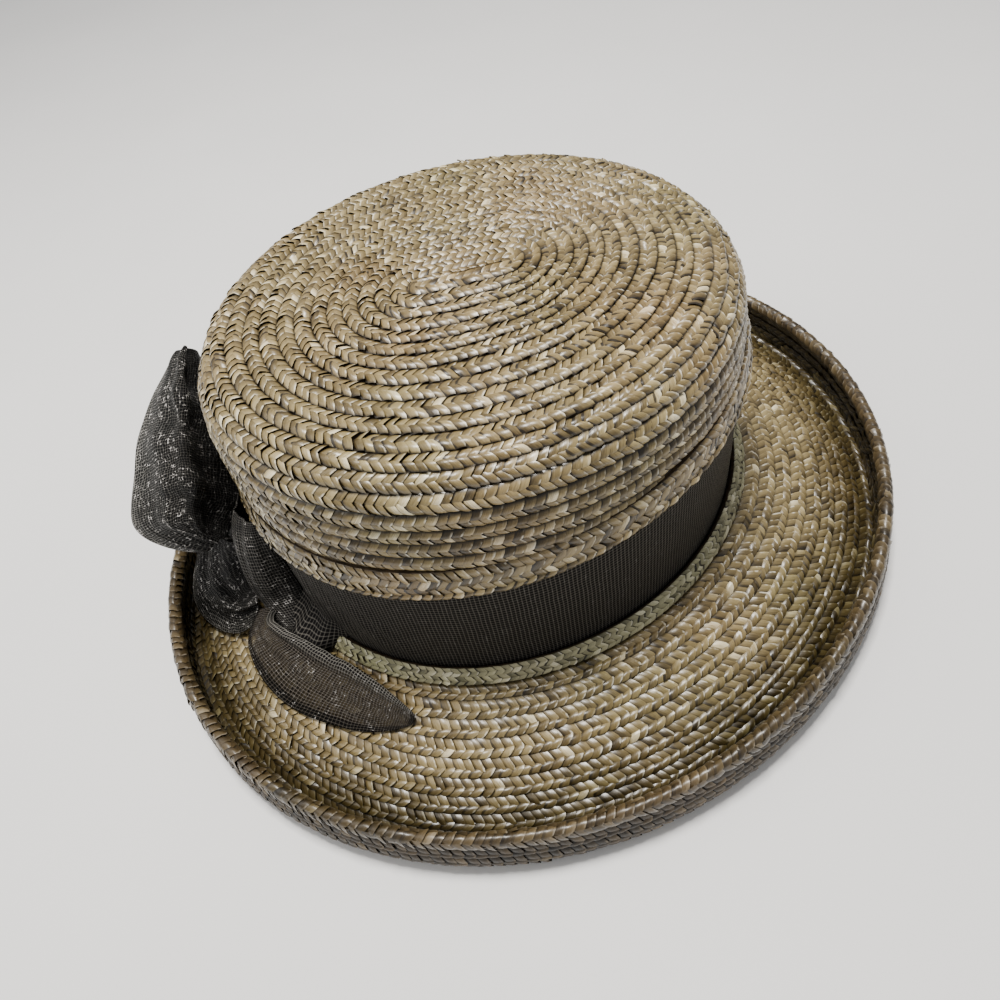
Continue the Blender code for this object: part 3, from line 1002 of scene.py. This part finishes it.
def arched(outer, ridge, inner):
    """Five points over a ridge."""
    outer, ridge, inner = (Vector(spot) for spot in (outer, ridge, inner))
    crest = ridge + (ridge - outer.lerp(inner, 0.5)) * CREST
    return [outer, outer.lerp(crest, 0.6), crest, inner.lerp(crest, 0.6), inner]


def standing(table):
    """Sections of a piece that stands in the air."""
    return [arched(row[0:3], row[3:6], row[6:9]) for row in table]


def lying(table):
    """Sections of a piece that lies over the brim."""
    return [arched(over_brim(*row[0:3]), over_brim(*row[3:6]), over_brim(*row[6:9])) for row in table]


def rolled_up(table):
    """Sections of the knot, which stands on the band."""
    rows = []
    for height, loop_side, tail_side, bulge in table:
        seat = float(np.interp(height, BAND_HEIGHTS, BAND_RADII)) + 0.8
        angles = np.radians([loop_side + (tail_side - loop_side) * part for part, _ in KNOT_SECTION])
        offs = np.array([off for _, off in KNOT_SECTION]) * bulge + seat
        rows.append(on_oval(offs, angles, np.full(len(offs), float(height))))
    return rows


# %% [markdown]
# The pulls are sums of a few waves. They fade out at the sheet's edges, which are hemmed and stay
# smooth. Each sheet has its own, because on the real bow no two pieces are crumpled alike.

# %% Pulls in the cloth
def ripple(across, along, number, slant, turn=0.0):
    """So many waves across a sheet, slanted along it."""
    return np.sin((across * number + along * slant + turn) * 2 * math.pi)


def knot_pulls(across, along):
    pulls = 0.5 * ripple(across, along, 3.5, 0.4) + 0.25 * ripple(across, along, 8, 1.1)
    return pulls * np.sin(across * math.pi)


def tail_pulls(across, along):
    """Soft waves and a rolled hem, both fading out towards the tail's tip."""
    waves = 0.55 * ripple(across, along, 2.5, 0.5) * np.sin(across * math.pi)
    hem = 2.2 * np.sin(math.pi * np.minimum(across / 0.2, 1))
    return (waves + hem) * (1 - along) ** 0.5


def lower_pulls(across, along):
    pulls = 1.1 * ripple(across, along, 2.2, 0.7) + 0.5 * ripple(across, along, 4.3, -1.3, 0.4)
    return pulls * np.sin(across * math.pi)


def upper_pulls(across, along):
    """Broad waves, and fine gathers where the loop comes out of the knot."""
    pulls = 0.9 * ripple(across, along, 3.2, 0.9) + 0.7 * ripple(across, along, 1.3, 3.1, 0.2)
    pulls = pulls + 0.8 * ripple(across, along, 0.6, 5.3)
    pulls = pulls + 0.45 * ripple(across, along, 11, 2.0) * np.clip(1 - 2 * along, 0, 1)
    return pulls * np.sin(0.15 + across * 2.99)


# %% A soft sheet
ROLLED_HEM = 4.5              # mm
SHEET_THICKNESS = 0.5         # mm


def soft_sheet(name, rows, scale, pulls, finish, shade=0.0):
    """A sheet from rows of five points, subdivided, with fine pulls worked in along its normals.

    shade is how dark the painted shade on its far half is, where it folds into the bow."""
    thing = grid(name, len(rows[0]) - 1, len(rows) - 1)
    put(thing, np.array([list(spot) for row in rows for spot in row]) * MM)
    soft = thing.modifiers.new("soft", "SUBSURF")
    soft.levels = soft.render_levels = 4
    bpy.ops.object.modifier_apply(modifier=soft.name)

    # The UV map tells each vertex how far across and along the sheet it is.
    mesh = thing.data
    flat = np.empty(len(mesh.loops) * 2)
    mesh.uv_layers[0].data.foreach_get("uv", flat)
    corners = np.empty(len(mesh.loops), dtype=int)
    mesh.loops.foreach_get("vertex_index", corners)
    sheet_way = np.zeros((len(mesh.vertices), 2))
    sheet_way[corners] = flat.reshape(-1, 2)
    across, along = np.clip(sheet_way, 0, 1).T

    normals = np.empty(len(mesh.vertices) * 3)
    mesh.vertices.foreach_get("normal", normals)
    put(thing, places(thing) + normals.reshape(-1, 3) * pulls(across, along)[:, None] * MM)
    cloth_map(thing, scale)
    carry(
        thing,
        edge=np.minimum(np.minimum(across, 1 - across) * scale[0], (1 - along) * scale[1]),
        roll=np.clip(1.3 - across * scale[0] / ROLLED_HEM, 0, 1),
        deep=shade * share(across, 0.48, 0.62),
    )
    finish_cloth(thing, SHEET_THICKNESS, finish)
    return thing


# %% Bow
knot = soft_sheet("knot", rolled_up(KNOT + KNOT_FOOT), (45, 56), knot_pulls, knot_cloth)
tail = soft_sheet("tail", lying(TAIL), (30, 92), tail_pulls, tail_cloth)
lower_loop = soft_sheet("lower_loop", lying(LOWER_LOOP), (27, 70), lower_pulls, bow_cloth, shade=0.35)
upper_loop = soft_sheet("upper_loop", standing(UPPER_LOOP), (52, 90), upper_pulls, bow_cloth, shade=0.72)
for piece, node, size in (
    (knot, "bow_knot", (0.045, 0.056)),
    (tail, "bow_tail", (0.030, 0.092)),
    (lower_loop, "bow_lower_loop", (0.030, 0.072)),
    (upper_loop, "bow_upper_loop", (0.055, 0.09)),
):
    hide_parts(node)

# %% [markdown]
# ## Floor and light
# The hat stands on a pale floor, so that its shadow shows how the rim is turned up. One small light
# above gives the leaves their edges, a weak broad one from the side opens the shadows, and the white
# room does the rest.

# %% Floor
bpy.ops.object.select_all(action="DESELECT")
bpy.ops.mesh.primitive_plane_add(size=6)
floor = bpy.context.object
floor.name = "floor"
ground = Finish("pale_floor", 0.8, 0.0001)
grain = ground.noise(ground.here(), 8.0, 2.0)
pale = ground.ramp(grain, ((0.3, (0.90, 0.90, 0.90, 1)), (0.7, (0.93, 0.93, 0.93, 1))))
floor.data.materials.append(ground.done(Base_Color=pale))

# %% Light
LAMP_COLOUR = (1.0, 0.965, 0.91)
LIT_PLACE = Vector((0, 0, 0.06))
ROOM_STRENGTH = 0.42


def lamp(name, spot, size, watts):
    """A square soft light that shines at the hat."""
    bpy.ops.object.light_add(type="AREA", location=spot)
    light = bpy.context.object
    light.name = name
    light.data.size = size
    light.data.energy = watts
    light.data.color = LAMP_COLOUR
    light.rotation_euler = (LIT_PLACE - spot).to_track_quat("-Z", "Y").to_euler()


lamp("ceiling", Vector((0, 0, 1.05)) - rightward * 0.06 + upward * 0.05, 0.22, 18)
lamp("window", Vector((0, 0, 0.5)) - rightward * 0.9 - ahead * 0.2, 0.8, 3)
world = bpy.data.worlds.new("room")
world.use_nodes = True
world.node_tree.nodes["Background"].inputs["Color"].default_value = (1, 1, 1, 1)
world.node_tree.nodes["Background"].inputs["Strength"].default_value = ROOM_STRENGTH
bpy.context.scene.world = world
